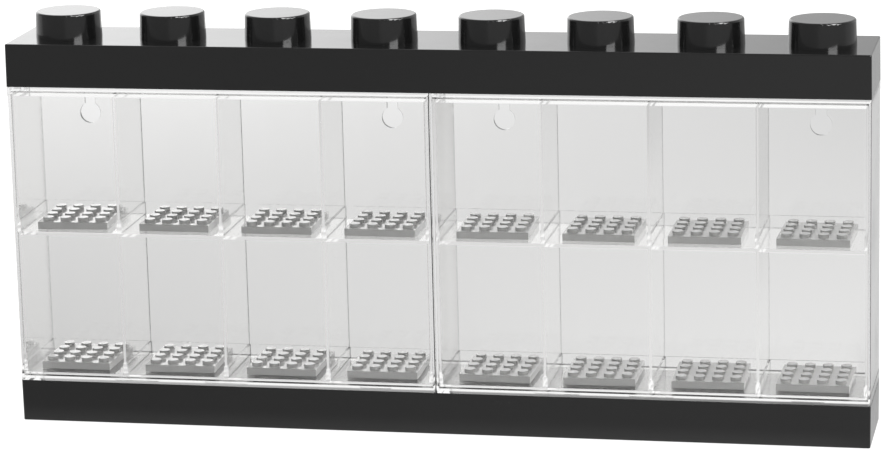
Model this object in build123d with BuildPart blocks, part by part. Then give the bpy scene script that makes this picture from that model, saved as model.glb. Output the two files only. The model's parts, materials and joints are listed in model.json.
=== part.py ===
"""A display case for small figures, in the shape of a wide toy building brick.

A black base and a black studded lid hold two clear halves side by side. Each half is a tray with
eight compartments and a cover that pulls straight off towards the front. A small grey studded plate
lies loose in every compartment.

Millimetres, +Z up, +X along the width, the front faces -Y, origin under the middle of the base.
"""
import os
from math import atan, degrees

from build123d import *

# The whole case
case_length = 382.0
case_depth = 47.0
corner_radius = 1.0
edge_softening = 0.6

# Base and lid
base_height = 18.7
lid_height = 19.1
lid_bottom = 153.4
shell_wall = 2.0
deck_thickness = 2.0
shell_draft = 0.17
tube_wall = 1.6
tube_recess = 0.6

# Studs on the lid, and the fit of a case stacked on top
stud_count = 8
stud_pitch = 48.0
stud_radius = 14.4
stud_foot_radius = 14.75
stud_height = 11.5
stud_skin = 2.4
stud_edge_radius = 0.9
stacking_clearance = 0.2
grip_rib_width = 1.6

# Clear covers
seam_gap = 0.2
end_inset = 0.2
front_inset = 0.4
rear_inset = 0.5
cover_wall = 1.1
cover_front = 1.2
cover_play = 0.2
cover_gap = 0.1
skirt_thickness = 1.9
skirt_play = 0.75
rim_height = 4.2
rim_side_reach = 0.12

# Fingernail grooves low on each cover's front: distance from the cover's left end, and width
nail_grooves = [(54.3, 19.8), (95.8, 19.4), (164.0, 14.0)]
nail_groove_height = 1.0
nail_groove_depth = 1.0
nail_groove_lift = 1.1

# Clear trays
tray_wall = 1.1
divider_thickness = 1.2
divider_count = 3
back_recess = 2.9
back_thickness = 1.5
floor_thickness = 1.05
roof_thickness = 1.55
shelf_top = 87.4
shelf_thickness = 1.5
upper_ledge_height = 5.5
lower_ledge_height = 4.7
ledge_reach = 0.5
beam_depth = 3.8
tongue_width = 12.0
tongue_thickness = 1.7
tongue_length = 9.0
tongue_setback = 0.5
tongue_clearance = 0.1
pocket_wall = 1.6

# Keyholes in the trays' backs, for hanging on two screws
keyhole_height = 133.8
keyhole_radius = 4.8
keyhole_neck_width = 4.9
keyhole_neck_rise = 11.0

# Small grey plates
plate_size = 31.8
plate_thickness = 3.2
plate_stud_pitch = 8.0
plate_stud_count = 4
plate_stud_radius = 2.4
plate_stud_height = 1.7
plate_wall = 1.2
plate_deck = 1.2
plate_tube_radius = 3.25
plate_tube_bore = 2.4
plate_centre_y = -0.1
plate_rest_gap = 0.05

# How each plate was laid by hand: sideways shift in millimetres and turn in degrees, left to right
upper_lay = [(-0.8, 3.3), (0.3, -0.4), (0.2, 0.8), (0.6, -0.6), (-0.3, 1.4), (0.5, -1.0), (-0.4, 0.5), (0.3, -1.3)]
lower_lay = [(-1.2, -1.1), (0.0, 1.2), (0.6, -0.5), (-0.4, 0.9), (0.2, -1.4), (-0.6, 0.6), (0.4, 1.1), (-0.2, -0.8)]

# What follows from those
half_length = case_length / 2
half_depth = case_depth / 2
tube_radius = stud_pitch / 2 - stud_radius - stacking_clearance
tube_places = [(index - stud_count / 2) * stud_pitch for index in range(1, stud_count)]
stud_places = [(index - (stud_count - 1) / 2) * stud_pitch for index in range(stud_count)]
tube_bore = tube_radius - tube_wall

cover_bottom = base_height + cover_gap
cover_top = lid_bottom - cover_gap
cover_width = half_length - seam_gap - end_inset
cover_face = -half_depth + front_inset
cover_back = half_depth - rear_inset

tray_width = cover_width - 2 * (cover_wall + cover_play)
tray_front = cover_face + cover_front + cover_play
tray_floor = cover_bottom + skirt_thickness + skirt_play
floor_top = tray_floor + floor_thickness
tray_roof = cover_top - skirt_thickness - skirt_play
roof_bottom = tray_roof - roof_thickness
tray_back = cover_back - back_recess
back_inside = tray_back - back_thickness
beam_front = tray_back - beam_depth
skirt_back = beam_front - cover_play
tongue_back = tray_back - tongue_setback
tongue_front = tongue_back - tongue_thickness
cell_width = (tray_width - 2 * tray_wall - divider_count * divider_thickness) / (divider_count + 1)
cell_pitch = cell_width + divider_thickness
shelf_bottom = shelf_top - shelf_thickness

# Tongues stand at the tubes, but not at the middle one, which lies under the seam
tongue_places = [x for x in tube_places if abs(x) > tube_radius]

# The middle of each clear half, between the seam and the end of the case
half_middle = (seam_gap + (half_length - end_inset)) / 2
halves = {"left": -half_middle, "right": half_middle}

cell_places = [(index - divider_count / 2) * cell_pitch for index in range(divider_count + 1)]
cell_columns = [middle + place for middle in (-half_middle, half_middle) for place in cell_places]


def block(x_limits, y_limits, z_limits, mode=Mode.ADD):
    """Add or cut a box, given by its lowest and highest X, Y and Z, in the part that is open."""
    limits = (x_limits, y_limits, z_limits)
    middle = [(low + high) / 2 for low, high in limits]
    with Locations(tuple(middle)):
        Box(*[high - low for low, high in limits], mode=mode)


def finish(piece, name):
    """Give a finished piece its name and write it as a STEP file."""
    piece.part.label = name
    export_step(piece.part, f"parts/{name}.step")


def make_base():
    """The black base: a deck on four walls, hollow below, with tubes between the stud sockets."""
    taper = -degrees(atan(shell_draft / base_height))
    foot_length = case_length - 2 * shell_draft
    foot_depth = case_depth - 2 * shell_draft
    with BuildPart() as base:
        with BuildSketch():
            RectangleRounded(foot_length, foot_depth, corner_radius)
        extrude(amount=base_height, taper=taper)
        fillet(base.edges().group_by(Axis.Z)[0], edge_softening / 2)
        with BuildSketch():
            Rectangle(foot_length - 2 * shell_wall, foot_depth - 2 * shell_wall)
        extrude(amount=base_height - deck_thickness, mode=Mode.SUBTRACT)
        # Tubes between the sockets: a stud below is held between two of them
        with BuildSketch(Plane.XY.offset(tube_recess)):
            with Locations(*[(x, 0) for x in tube_places]):
                Circle(tube_radius)
        extrude(amount=base_height - deck_thickness / 2 - tube_recess)
        # Ribs on the long walls reach in to the sides of each stud
        rib_inner = stud_radius + stacking_clearance
        rib_outer = foot_depth / 2 - shell_wall / 2
        for x in stud_places:
            for side in (-1, 1):
                rib_y = sorted((side * rib_inner, side * rib_outer))
                rib_x = (x - grip_rib_width / 2, x + grip_rib_width / 2)
                block(rib_x, rib_y, (tube_recess, base_height - deck_thickness / 2))
        with BuildSketch():
            with Locations(*[(x, 0) for x in tube_places]):
                Circle(tube_bore)
        extrude(amount=base_height - deck_thickness, mode=Mode.SUBTRACT)
        # Slots in the deck for the tongues of both trays
        for x in tongue_places:
            slot_x = (x - tongue_width / 2 - tongue_clearance, x + tongue_width / 2 + tongue_clearance)
            slot_y = (tongue_front - tongue_clearance, tongue_back + tongue_clearance)
            block(slot_x, slot_y, (base_height - deck_thickness, base_height), mode=Mode.SUBTRACT)
    return base


def make_lid():
    """The black lid: a roof with eight studs on four walls, hollow below, with pockets for the tongues."""
    taper = degrees(atan(shell_draft / lid_height))
    lid_top = lid_bottom + lid_height
    with BuildPart() as lid:
        with BuildSketch(Plane.XY.offset(lid_bottom)):
            RectangleRounded(case_length, case_depth, corner_radius)
        extrude(amount=lid_height, taper=taper)
        fillet(lid.edges().group_by(Axis.Z)[-1], edge_softening)
        stud_taper = degrees(atan((stud_foot_radius - stud_radius) / stud_height))
        with BuildSketch(Plane.XY.offset(lid_top)):
            with Locations(*[(x, 0) for x in stud_places]):
                Circle(stud_foot_radius)
        extrude(amount=stud_height, taper=stud_taper)
        fillet(lid.edges().group_by(Axis.Z)[-1], stud_edge_radius)
        with BuildSketch(Plane.XY.offset(lid_bottom)):
            Rectangle(case_length - 2 * shell_wall, case_depth - 2 * shell_wall)
        extrude(amount=lid_height - deck_thickness, mode=Mode.SUBTRACT)
        # The studs are hollow from below
        with BuildSketch(Plane.XY.offset(lid_bottom)):
            with Locations(*[(x, 0) for x in stud_places]):
                Circle(stud_radius - stud_skin)
        extrude(amount=lid_height + stud_height - stud_skin, mode=Mode.SUBTRACT)
        # A bracket in front of each tongue makes a pocket between it and the back wall
        for x in tongue_places:
            bracket_x = (x - tongue_width / 2 - pocket_wall, x + tongue_width / 2 + pocket_wall)
            bracket_y = (tongue_front - tongue_clearance - pocket_wall, half_depth - shell_wall / 2)
            bracket_z = (lid_bottom + tube_recess, lid_top - deck_thickness / 2)
            block(bracket_x, bracket_y, bracket_z)
            pocket_x = (x - tongue_width / 2 - tongue_clearance, x + tongue_width / 2 + tongue_clearance)
            pocket_y = (tongue_front - tongue_clearance, tongue_back + tongue_clearance)
            block(pocket_x, pocket_y, (lid_bottom, lid_top - deck_thickness), mode=Mode.SUBTRACT)
    return lid


def make_tray(middle):
    """A clear tray: four columns of compartments, above and below a shelf, open at the front."""
    outer_x = (middle - tray_width / 2, middle + tray_width / 2)
    with BuildPart() as tray:
        block(outer_x, (tray_front, tray_back), (tray_floor, tray_roof))
        # A beam along the back stands on the base, and carries the lid
        block(outer_x, (beam_front, tray_back), (base_height, lid_bottom))
        # Tongues go down through the base's deck and up into the lid's pockets
        for x in tongue_places:
            if outer_x[0] < x < outer_x[1]:
                tongue_x = (x - tongue_width / 2, x + tongue_width / 2)
                tongue_z = (base_height - tongue_length, lid_bottom + tongue_length)
                block(tongue_x, (tongue_front, tongue_back), tongue_z)
        # Compartments, each with a low ledge round its floor
        lower_row = (floor_top, shelf_bottom, lower_ledge_height)
        upper_row = (shelf_top, roof_bottom, upper_ledge_height)
        for x in cell_places:
            for low, high, ledge_height in (lower_row, upper_row):
                left, right = middle + x - cell_width / 2, middle + x + cell_width / 2
                block((left, right), (tray_front, back_inside), (low + ledge_height, high), mode=Mode.SUBTRACT)
                inner = (left + ledge_reach, right - ledge_reach)
                block(inner, (tray_front, back_inside - ledge_reach), (low, high), mode=Mode.SUBTRACT)
        # Keyholes in the two end compartments of the upper row
        for x in (cell_places[0], cell_places[-1]):
            with BuildSketch(Plane.XZ.offset(-tray_back)):
                with Locations((middle + x, keyhole_height)):
                    Circle(keyhole_radius)
                with Locations((middle + x, keyhole_height + keyhole_neck_rise / 2)):
                    SlotCenterToCenter(keyhole_neck_rise, keyhole_neck_width, rotation=90)
            extrude(amount=back_thickness, mode=Mode.SUBTRACT)
    return tray


def make_cover(middle):
    """A clear cover: a front with skirts all round, which slides over the tray from the front."""
    outer_x = (middle - cover_width / 2, middle + cover_width / 2)
    inner_x = (outer_x[0] + cover_wall, outer_x[1] - cover_wall)
    rim_width = cover_width + 2 * rim_side_reach
    rim_depth = cover_back + half_depth
    with BuildPart() as cover:
        block(outer_x, (cover_face, cover_back), (cover_bottom, cover_top))
        # Rims along the top and bottom stand a little proud, in line with the lid and the base
        for low in (cover_bottom, cover_top - rim_height):
            with BuildSketch(Plane.XY.offset(low)):
                with Locations((middle, (cover_back - half_depth) / 2)):
                    Rectangle(rim_width, rim_depth)
            extrude(amount=rim_height)
        front_corners = cover.edges().filter_by(Axis.Z).group_by(Axis.Y)
        fillet(front_corners[0] + front_corners[1], corner_radius)
        cavity_z = (cover_bottom + skirt_thickness, cover_top - skirt_thickness)
        block(inner_x, (cover_face + cover_front, cover_back), cavity_z, mode=Mode.SUBTRACT)
        block(inner_x, (skirt_back, cover_back), (cover_bottom, cover_top), mode=Mode.SUBTRACT)
        # Grooves for a fingernail in the lower rim
        for distance, width in nail_grooves:
            x = middle - half_length / 2 + distance
            groove_x = (x - width / 2, x + width / 2)
            groove_y = (-half_depth, -half_depth + nail_groove_depth)
            groove_low = cover_bottom + nail_groove_lift
            block(groove_x, groove_y, (groove_low, groove_low + nail_groove_height), mode=Mode.SUBTRACT)
    return cover


def make_plate(x, floor, turn):
    """A grey plate with four by four studs, hollow below, lying on a floor at a small turn."""
    underside = Plane(origin=(x, plate_centre_y, floor), x_dir=(1, 0, 0), z_dir=(0, 0, 1)).rotated((0, 0, turn))
    with BuildPart(underside) as plate:
        with BuildSketch(underside):
            Rectangle(plate_size, plate_size)
        extrude(amount=plate_thickness)
        with BuildSketch(underside):
            Rectangle(plate_size - 2 * plate_wall, plate_size - 2 * plate_wall)
            with GridLocations(plate_stud_pitch, plate_stud_pitch, plate_stud_count - 1, plate_stud_count - 1):
                Circle(plate_tube_radius, mode=Mode.SUBTRACT)
                Circle(plate_tube_bore)
        extrude(amount=plate_thickness - plate_deck, mode=Mode.SUBTRACT)
        with BuildSketch(underside.offset(plate_thickness)):
            with GridLocations(plate_stud_pitch, plate_stud_pitch, plate_stud_count, plate_stud_count):
                Circle(plate_stud_radius)
        extrude(amount=plate_stud_height)
    return plate


os.makedirs("parts", exist_ok=True)

base = make_base()
finish(base, "base")
lid = make_lid()
finish(lid, "lid")

for side, middle in halves.items():
    tray = make_tray(middle)
    finish(tray, f"tray_{side}")
    cover = make_cover(middle)
    finish(cover, f"cover_{side}")

for row, floor, lay in (("upper", shelf_top, upper_lay), ("lower", floor_top, lower_lay)):
    for number, (column, (shift, turn)) in enumerate(zip(cell_columns, lay), start=1):
        plate = make_plate(column + shift, floor + plate_rest_gap, turn)
        finish(plate, f"plate_{row}_{number}")
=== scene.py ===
# %% [markdown]
# A display case shaped like a wide toy brick: a black base and a black studded lid hold two clear
# trays with eight compartments each, and each tray has a clear cover in front. A small grey studded
# plate lies in every compartment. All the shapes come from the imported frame, at their real size.
# What is left to do here is what the eye sees: polished black plastic, water-clear plastic with
# bright edges, polished grey plastic, and the white studio round them.

# %% Load the frame
import json
import math

import bpy
from mathutils import Euler, Matrix, Vector


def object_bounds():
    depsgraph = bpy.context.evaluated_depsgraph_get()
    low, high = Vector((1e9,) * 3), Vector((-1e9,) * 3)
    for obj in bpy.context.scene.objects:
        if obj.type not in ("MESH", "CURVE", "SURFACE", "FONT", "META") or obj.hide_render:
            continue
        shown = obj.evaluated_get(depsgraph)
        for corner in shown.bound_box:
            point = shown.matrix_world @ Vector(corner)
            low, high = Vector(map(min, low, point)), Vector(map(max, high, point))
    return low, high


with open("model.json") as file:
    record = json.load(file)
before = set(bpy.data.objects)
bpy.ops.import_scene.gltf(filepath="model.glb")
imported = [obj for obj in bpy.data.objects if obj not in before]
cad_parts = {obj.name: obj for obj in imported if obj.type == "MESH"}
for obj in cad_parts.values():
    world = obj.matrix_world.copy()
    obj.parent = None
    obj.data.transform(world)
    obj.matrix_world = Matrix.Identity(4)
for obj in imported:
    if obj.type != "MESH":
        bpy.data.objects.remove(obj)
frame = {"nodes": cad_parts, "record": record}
cad_low, cad_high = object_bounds()
nodes = frame["nodes"]
scene = bpy.context.scene
MM = 0.001
case_top = cad_high[2]
print("case", [round((high - low) / MM, 1) for low, high in zip(cad_low, cad_high)], "mm")

# %% [markdown]
# The camera comes first, because every later choice is judged through it. It stands far off with a
# long lens, a little to the right of the case and above it, and is tipped by a degree or so. Those
# angles follow from the way the case's long edges run together in the photograph. A camera's turn is
# easiest to read as three steps: swing it round the object, raise it, then roll it about its own line
# of sight.

# %% Camera
camera_azimuth = 11.685
camera_elevation = 13.254
camera_roll = -1.401
camera_place = Vector((0.31149, -1.50751, 0.45015))
picture_width = 884
focal_pixels = 3571.9

camera_data = bpy.data.cameras.new("studio_camera")
camera_data.sensor_fit = "HORIZONTAL"
camera_data.sensor_width = 36.0
camera_data.lens = camera_data.sensor_width * focal_pixels / picture_width
camera_data.clip_start = 0.05
camera = bpy.data.objects.new("studio_camera", camera_data)
swing = Euler((math.radians(90 - camera_elevation), 0, math.radians(camera_azimuth)), "XYZ")
turn = swing.to_matrix().to_4x4() @ Matrix.Rotation(math.radians(camera_roll), 4, "Z")
camera.matrix_world = Matrix.Translation(camera_place) @ turn
scene.collection.objects.link(camera)
scene.camera = camera
scene.view_settings.view_transform = "Standard"
print("lens", round(camera_data.lens, 1), "mm")

# %% [markdown]
# A material is a small graph of nodes. These helpers make an empty graph, add a node to it and wire
# two sockets together, so that each material below stays a short list of what it really has.

# %% Helpers for materials


def new_material(name):
    """An empty node material with its output node."""
    material = bpy.data.materials.new(name)
    material.use_nodes = True
    material.node_tree.nodes.clear()
    output = material.node_tree.nodes.new("ShaderNodeOutputMaterial")
    return material, output


def add_node(tree, kind, **values):
    """Adds a node and sets the sockets that values names, with underscores for spaces."""
    node = tree.nodes.new(kind)
    for socket, value in values.items():
        node.inputs[socket.replace("_", " ")].default_value = value
    return node


def wire(tree, source, source_socket, target, target_socket):
    """Links one node's output to another node's input."""
    tree.links.new(source.outputs[source_socket], target.inputs[target_socket])


def object_noise(tree, scale, detail=2.0):
    """Noise fixed to the object, with scale in waves per metre."""
    place = add_node(tree, "ShaderNodeTexCoord")
    noise = add_node(tree, "ShaderNodeTexNoise", Scale=scale, Detail=detail)
    wire(tree, place, "Object", noise, "Vector")
    return noise


def bump_from(tree, height_node, height_socket, distance, strength=1.0):
    """A bump as high as distance, in metres."""
    bump = add_node(tree, "ShaderNodeBump", Strength=strength, Distance=distance)
    wire(tree, height_node, height_socket, bump, "Height")
    return bump


# %% [markdown]
# The picture has no horizon: everything round the case is white. Black polish and clear plastic are
# seen almost only by what they mirror and let through, so for those rays the world is a studio: a
# bright wall behind the case, brightest on the left, and a dim room in front of it. One real studio
# would show every ray the same. Here each kind of ray gets a level of its own, because a wall as
# bright as the lid mirrors it would wash out the thin dark lines in the clear edges. Rays through
# clear plastic therefore see a plainer wall, all but those that a grey plate has mirrored. They are
# told by how often they were mirrored and how many clear faces they crossed. The camera sees plain
# white, and matt surfaces get even light.

# %% White surround
surround_light = 1.75
room_level = 0.34
wall_level = 0.74
wall_left_level = 2.1
wall_through_level = 1.1
wall_right_edge = -0.05
wall_left_edge = -0.34
room_turn = 0.25
wall_turn = 0.75
plate_mirrors = 1
clear_faces_crossed = 4
count_slack = 0.5


def ramp(tree, source, socket, from_min, from_max, to_min, to_max, smooth=True):
    """A value that runs from to_min to to_max while the source runs from from_min to from_max."""
    node = add_node(tree, "ShaderNodeMapRange", From_Min=from_min, From_Max=from_max,
                    To_Min=to_min, To_Max=to_max)
    node.interpolation_type = "SMOOTHSTEP" if smooth else "LINEAR"
    wire(tree, source, socket, node, "Value")
    return node


def blend_values(tree, factor, low, high):
    """Mixes two values by a factor: each is a number or a node with a Result."""
    mix = tree.nodes.new("ShaderNodeMix")
    mix.data_type = "FLOAT"
    tree.links.new(factor.outputs[0], mix.inputs[0])
    for socket, value in ((mix.inputs[2], low), (mix.inputs[3], high)):
        if isinstance(value, float):
            socket.default_value = value
        else:
            tree.links.new(value.outputs[0], socket)
    return mix


def clear_or_mirror(tree, path):
    """One where the ray is a reflection or has come through clear plastic."""
    either = tree.nodes.new("ShaderNodeMath")
    either.operation = "MAXIMUM"
    wire(tree, path, "Is Glossy Ray", either, 0)
    wire(tree, path, "Is Transmission Ray", either, 1)
    return either


def off_a_plate(tree, path):
    """One where the ray came in through a cover, was mirrored once and left through the tray's back."""
    both = tree.nodes.new("ShaderNodeMath")
    both.operation = "MINIMUM"
    counts = (("Glossy Depth", plate_mirrors), ("Transmission Depth", clear_faces_crossed))
    for place, (kind, count) in enumerate(counts):
        same = tree.nodes.new("ShaderNodeMath")
        same.operation = "COMPARE"
        wire(tree, path, kind, same, 0)
        same.inputs[1].default_value = count
        same.inputs[2].default_value = count_slack
        wire(tree, same, "Value", both, place)
    return both


def mix_by_ray(tree, path, kind, low, high):
    """Mixes two values by the kind of ray: low for the others and high for that kind."""
    mix = blend_values(tree, path, low, high)
    tree.links.new(path.outputs[kind], mix.inputs[0])
    return mix


world = bpy.data.worlds.new("white_surround")
world.use_nodes = True
scene.world = world
tree = world.node_tree
tree.nodes.clear()
world_output = tree.nodes.new("ShaderNodeOutputWorld")
path = add_node(tree, "ShaderNodeLightPath")
way = add_node(tree, "ShaderNodeTexCoord")
axes = add_node(tree, "ShaderNodeSeparateXYZ")
wire(tree, way, "Generated", axes, "Vector")
wall = ramp(tree, axes, "X", wall_left_edge, wall_right_edge, wall_left_level, wall_level)
behind = ramp(tree, axes, "Y", room_turn, wall_turn, 0.0, 1.0)
wall_through = blend_values(tree, off_a_plate(tree, path), wall_through_level, wall)
wall_by_ray = mix_by_ray(tree, path, "Is Transmission Ray", wall, wall_through)
studio_level = blend_values(tree, behind, room_level, wall_by_ray)
studio = add_node(tree, "ShaderNodeBackground", Color=(1, 1, 1, 1))
tree.links.new(studio_level.outputs[0], studio.inputs["Strength"])
even = add_node(tree, "ShaderNodeBackground", Color=(1, 1, 1, 1), Strength=surround_light)
white = add_node(tree, "ShaderNodeBackground", Color=(1, 1, 1, 1), Strength=1.0)
matt_or_studio = tree.nodes.new("ShaderNodeMixShader")
wire(tree, clear_or_mirror(tree, path), "Value", matt_or_studio, 0)
wire(tree, even, "Background", matt_or_studio, 1)
wire(tree, studio, "Background", matt_or_studio, 2)
seen = tree.nodes.new("ShaderNodeMixShader")
wire(tree, path, "Is Camera Ray", seen, 0)
wire(tree, matt_or_studio, "Shader", seen, 1)
wire(tree, white, "Background", seen, 2)
wire(tree, seen, "Shader", world_output, "Surface")

# %% [markdown]
# The floor is a pale matt plane at the height the case stands on. To the camera it is white with a soft
# shadow under the case. In mirror images and through the clear plastic it is not lit at all. Instead it
# glows with painted shade, the light grey of a studio sweep, which slowly changes with distance and from
# left to right: that painted gradient is what makes the compartments look filled with glass, not empty.
# In front of the case the glow is painted dim, and the black plastic mirrors that painted shade.

# %% Floor
floor_reach = 6.0
floor_white = 0.84
floor_shade = (0.24, 0.24, 0.24, 1)
floor_matt = (0.8, 0.8, 0.8, 1)
# Painted shade: these levels set how brightly the floor glows for mirrored rays and rays through clear
# plastic. They stand in for a lit studio sweep that is dim in front of the case.
sweep_near, sweep_far = 0.03, 0.75
sweep_left, sweep_right = -0.30, 0.14
painted_near_shade = (0.62, 0.88)
painted_far_shade = (0.97, 0.70)
end_edge, end_far, painted_end_shade = 0.165, 0.20, 0.62
front_edge, front_end = -0.05, -0.02
front_left, front_right = -0.3, 0.15
painted_front_shade = (0.34, 0.52)

floor_mesh = bpy.data.meshes.new("studio_floor")
corners = [(-floor_reach, -floor_reach, 0), (floor_reach, -floor_reach, 0),
           (floor_reach, floor_reach, 0), (-floor_reach, floor_reach, 0)]
floor_mesh.from_pydata(corners, [], [(0, 1, 2, 3)])
floor = bpy.data.objects.new("studio_floor", floor_mesh)
scene.collection.objects.link(floor)

floor_material, output = new_material("pale_floor")
tree = floor_material.node_tree
path = add_node(tree, "ShaderNodeLightPath")
spot = add_node(tree, "ShaderNodeTexCoord")
axes = add_node(tree, "ShaderNodeSeparateXYZ")
wire(tree, spot, "Object", axes, "Vector")
# Painted shade: for these rays the floor's glow follows a painted gradient with distance and from left
# to right. It is painted dim in front of the case and past its right end.
near = ramp(tree, axes, "X", sweep_left, sweep_right, *painted_near_shade, smooth=False)
far = ramp(tree, axes, "X", sweep_left, sweep_right, *painted_far_shade, smooth=False)
distance = ramp(tree, axes, "Y", sweep_near, sweep_far, 0.0, 1.0, smooth=False)
past_end = ramp(tree, axes, "X", end_edge, end_far, 0.0, 1.0)
past_front = ramp(tree, axes, "Y", front_edge, front_end, 0.0, 1.0)
sweep = blend_values(tree, past_end, blend_values(tree, distance, near, far), painted_end_shade)
front = ramp(tree, axes, "X", front_left, front_right, *painted_front_shade)
painted_sweep_shade = blend_values(tree, past_front, front, sweep)
painted_sweep_glow = add_node(tree, "ShaderNodeEmission", Color=(1, 1, 1, 1))
tree.links.new(painted_sweep_shade.outputs[0], painted_sweep_glow.inputs["Strength"])
white_glow = add_node(tree, "ShaderNodeEmission", Color=(1, 1, 1, 1), Strength=floor_white)
shade = add_node(tree, "ShaderNodeBsdfDiffuse", Color=floor_shade)
white_floor = tree.nodes.new("ShaderNodeAddShader")
wire(tree, white_glow, "Emission", white_floor, 0)
wire(tree, shade, "BSDF", white_floor, 1)
matt = add_node(tree, "ShaderNodeBsdfDiffuse", Color=floor_matt)
matt_or_sweep = tree.nodes.new("ShaderNodeMixShader")
wire(tree, clear_or_mirror(tree, path), "Value", matt_or_sweep, 0)
wire(tree, matt, "BSDF", matt_or_sweep, 1)
wire(tree, painted_sweep_glow, "Emission", matt_or_sweep, 2)
seen = tree.nodes.new("ShaderNodeMixShader")
wire(tree, path, "Is Camera Ray", seen, 0)
wire(tree, matt_or_sweep, "Shader", seen, 1)
wire(tree, white_floor, "Shader", seen, 2)
wire(tree, seen, "Shader", output, "Surface")
floor.data.materials.append(floor_material)

# %% [markdown]
# Glossy plastic shows its lamps, so the lamps are shaped for what they leave on it. A big soft panel
# overhead shows on the studs' rounded edges. A panel at the front right leaves the window-like mark
# low on each stud and the crescent under its rim. Both are there for reflections alone: matt surfaces
# get all their light from the white surround, which comes from every side as in a light tent.

# %% Lights


def mirror_panel(name, place, target, width, height, power):
    """A rectangular soft lamp at place that faces target, and shows in mirror images alone."""
    data = bpy.data.lights.new(name, "AREA")
    data.shape = "RECTANGLE"
    data.size = width
    data.size_y = height
    data.energy = power
    lamp = bpy.data.objects.new(name, data)
    lamp.location = place
    lamp.rotation_euler = (Vector(target) - Vector(place)).to_track_quat("-Z", "Y").to_euler()
    lamp.visible_diffuse = False
    lamp.visible_transmission = False
    lamp.visible_camera = False
    scene.collection.objects.link(lamp)
    return lamp


case_middle = (0, 0, case_top / 2)
overhead_place, overhead_side, overhead_power = (0.9, -0.3, 1.5), 0.8, 26.0
front_place, front_width, front_height, front_power = (1.2, -1.25, 0.6), 0.9, 0.5, 14.0
mirror_panel("overhead_panel", overhead_place, case_middle, overhead_side, overhead_side, overhead_power)
mirror_panel("front_right_panel", front_place, case_middle, front_width, front_height, front_power)

# %% [markdown]
# Light that enters a clear sheet by its edge is thrown from face to face on its way through. Each turn
# counts as a bounce, so the path tracer is allowed more of them than a scene without glass needs.
# With too few, the edges of the plastic go black.

# %% Bounces for clear plastic
most_bounces = 24
most_mirror_bounces = 20
scene.cycles.max_bounces = most_bounces
scene.cycles.glossy_bounces = most_mirror_bounces
scene.cycles.transmission_bounces = most_bounces
scene.cycles.transparent_max_bounces = most_bounces

# %% [markdown]
# The lid and the base are injection-moulded black plastic, polished like a toy brick. Its colour is
# almost nothing: what one sees is the mirror image of the studio. Real mouldings are never quite
# flat, so a faint, long wave in the surface bends those reflections a little.

# %% Black plastic
black_colour = (0.007, 0.007, 0.007, 1)
black_index = 1.52
black_polish = (0.08, 0.17)
wave_scale, wave_height, wave_strength = 28.0, 0.00025, 0.35
smear_scale, smear_detail = 160.0, 4.0

black_plastic, output = new_material("polished_black_plastic")
tree = black_plastic.node_tree
surface = add_node(tree, "ShaderNodeBsdfPrincipled", Base_Color=black_colour, IOR=black_index)
mould_wave = object_noise(tree, wave_scale)
wave_bump = bump_from(tree, mould_wave, "Fac", wave_height, wave_strength)
wire(tree, wave_bump, "Normal", surface, "Normal")
smears = object_noise(tree, smear_scale, smear_detail)
smear_range = add_node(tree, "ShaderNodeMapRange", To_Min=black_polish[0], To_Max=black_polish[1])
wire(tree, smears, "Fac", smear_range, "Value")
wire(tree, smear_range, "Result", surface, "Roughness")
wire(tree, surface, "BSDF", output, "Surface")

# %% [markdown]
# Clear plastic is glass with a lower refractive index. Its faces all but vanish, and its edges show,
# because light that enters through an edge runs along inside the sheet. Lamps can't shine straight
# through glass in a path tracer, so for shadow rays alone the plastic is see-through: that lets the
# daylight into the compartments as the real case does.

# %% Clear plastic
clear_tint = (0.994, 0.993, 0.99, 1)
shadow_tint = (0.97, 0.97, 0.97, 1)
clear_roughness, clear_index = 0.01, 1.585
flow_scale, flow_height, flow_strength = 22.0, 0.0001, 0.25

clear_plastic, output = new_material("clear_plastic")
tree = clear_plastic.node_tree
surface = add_node(tree, "ShaderNodeBsdfPrincipled", Base_Color=clear_tint, Transmission_Weight=1.0,
                   Roughness=clear_roughness, IOR=clear_index)
flow_lines = object_noise(tree, flow_scale)
flow_bump = bump_from(tree, flow_lines, "Fac", flow_height, flow_strength)
wire(tree, flow_bump, "Normal", surface, "Normal")
see_through = add_node(tree, "ShaderNodeBsdfTransparent", Color=shadow_tint)
path = add_node(tree, "ShaderNodeLightPath")
by_ray = add_node(tree, "ShaderNodeMixShader")
wire(tree, path, "Is Shadow Ray", by_ray, 0)
wire(tree, surface, "BSDF", by_ray, 1)
wire(tree, see_through, "BSDF", by_ray, 2)
wire(tree, by_ray, "Shader", output, "Surface")

# %% [markdown]
# The small plates are mid-grey toy plastic, polished enough to mirror the wall between their studs
# when seen at a low angle. That mirror image is most of what one sees of their tops. A thin glossy
# coat strengthens it. A slight change of tone from place to place and a fine grain keep sixteen
# plates from looking stamped out of one flat colour.

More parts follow.
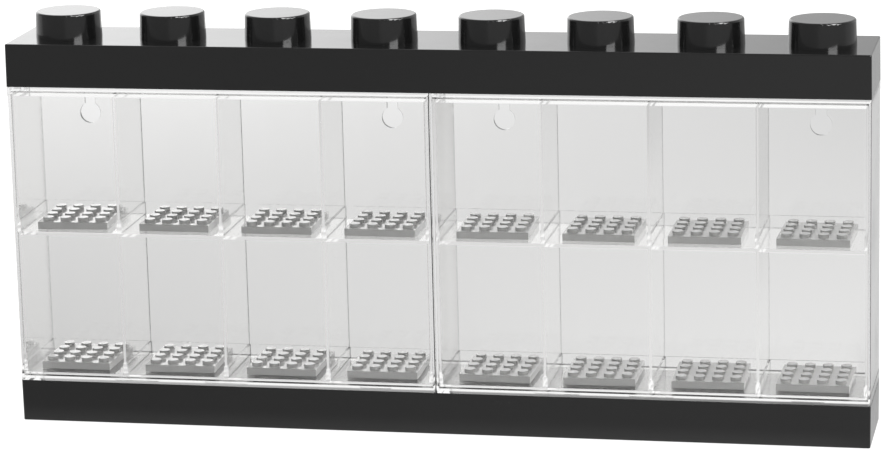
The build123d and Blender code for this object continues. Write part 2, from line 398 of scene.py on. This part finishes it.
# %% Grey plastic
grey_dark = (0.32, 0.32, 0.315, 1)
grey_light = (0.39, 0.39, 0.385, 1)
grey_roughness, grey_index = 0.05, 1.6
coat_weight, coat_roughness = 0.5, 0.03
mottle_scale, mottle_detail = 60.0, 3.0
grain_scale, grain_height, grain_strength = 900.0, 0.00002, 0.3

grey_plastic, output = new_material("polished_grey_plastic")
tree = grey_plastic.node_tree
surface = add_node(tree, "ShaderNodeBsdfPrincipled", Roughness=grey_roughness, IOR=grey_index,
                   Coat_Weight=coat_weight, Coat_Roughness=coat_roughness)
mottle = object_noise(tree, mottle_scale, mottle_detail)
tone = add_node(tree, "ShaderNodeMix")
tone.data_type = "RGBA"
wire(tree, mottle, "Fac", tone, "Factor")
tone.inputs[6].default_value = grey_dark
tone.inputs[7].default_value = grey_light
tree.links.new(tone.outputs[2], surface.inputs["Base Color"])
grain = object_noise(tree, grain_scale)
grain_bump = bump_from(tree, grain, "Fac", grain_height, grain_strength)
wire(tree, grain_bump, "Normal", surface, "Normal")
wire(tree, surface, "BSDF", output, "Surface")

# %% [markdown]
# No moulded edge is knife-sharp. On the black and grey pieces a bevel modifier rounds every edge by a
# few tenths of a millimetre without touching the mesh below it, and those narrow rounds catch the
# light as fine bright lines. The limit angle keeps the modifier off the small steps of round
# surfaces. The clear pieces go without.

# %% Finish and edges of each node
finishes = {
    "black_plastic": (black_plastic, 0.35),
    "clear_plastic": (clear_plastic, 0.0),
    "grey_plastic": (grey_plastic, 0.15),
}
slots = {entry["node"]: entry["material_slot"] for entry in frame["record"]["subparts"]}
bevel_limit = math.radians(35)


def soften(piece, width):
    """Rounds the sharp edges of a piece by width, in millimetres."""
    bevel = piece.modifiers.new("edge_rounds", "BEVEL")
    bevel.width = width * MM
    bevel.segments = 2
    bevel.limit_method = "ANGLE"
    bevel.angle_limit = bevel_limit
    bevel.harden_normals = False


for name, piece in nodes.items():
    material, edge_round = finishes[slots[name]]
    for place in piece.material_slots:
        place.material = material
    if not piece.material_slots:
        piece.data.materials.append(material)
    if edge_round > 0:
        soften(piece, edge_round)
print(len(nodes), "nodes finished")
